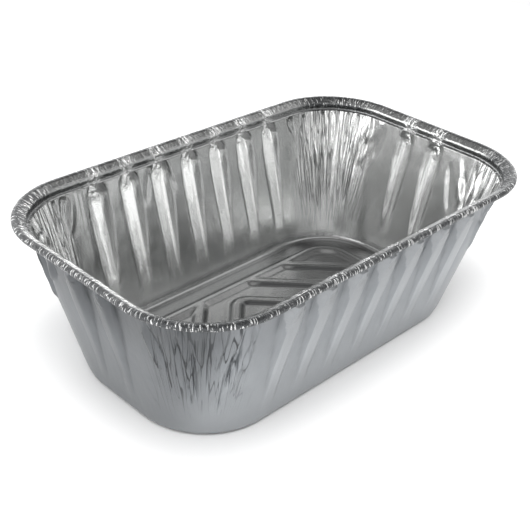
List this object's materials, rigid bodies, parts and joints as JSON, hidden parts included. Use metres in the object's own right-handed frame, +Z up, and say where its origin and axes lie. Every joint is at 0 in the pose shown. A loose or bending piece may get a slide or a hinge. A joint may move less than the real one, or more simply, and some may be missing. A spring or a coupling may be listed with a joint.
{
  "type": "foil loaf pan",
  "caption": "Small disposable loaf pan pressed from thin aluminium foil, with leaning fluted walls, round corners, a ribbed floor and a rolled rim.",
  "frame": {"origin": "middle of the base, on the surface that the pan stands on", "axes": "+X along the length, +Y across the width, +Z up out of the mouth"},
  "size_m": [0.156, 0.0972, 0.0517],
  "materials": {
    "foil": "bright satin rolled aluminium foil, creased at the corners"
  },
  "bodies": {
    "root": {"loaf_pan": "foil"}
  },
  "joints": []
}
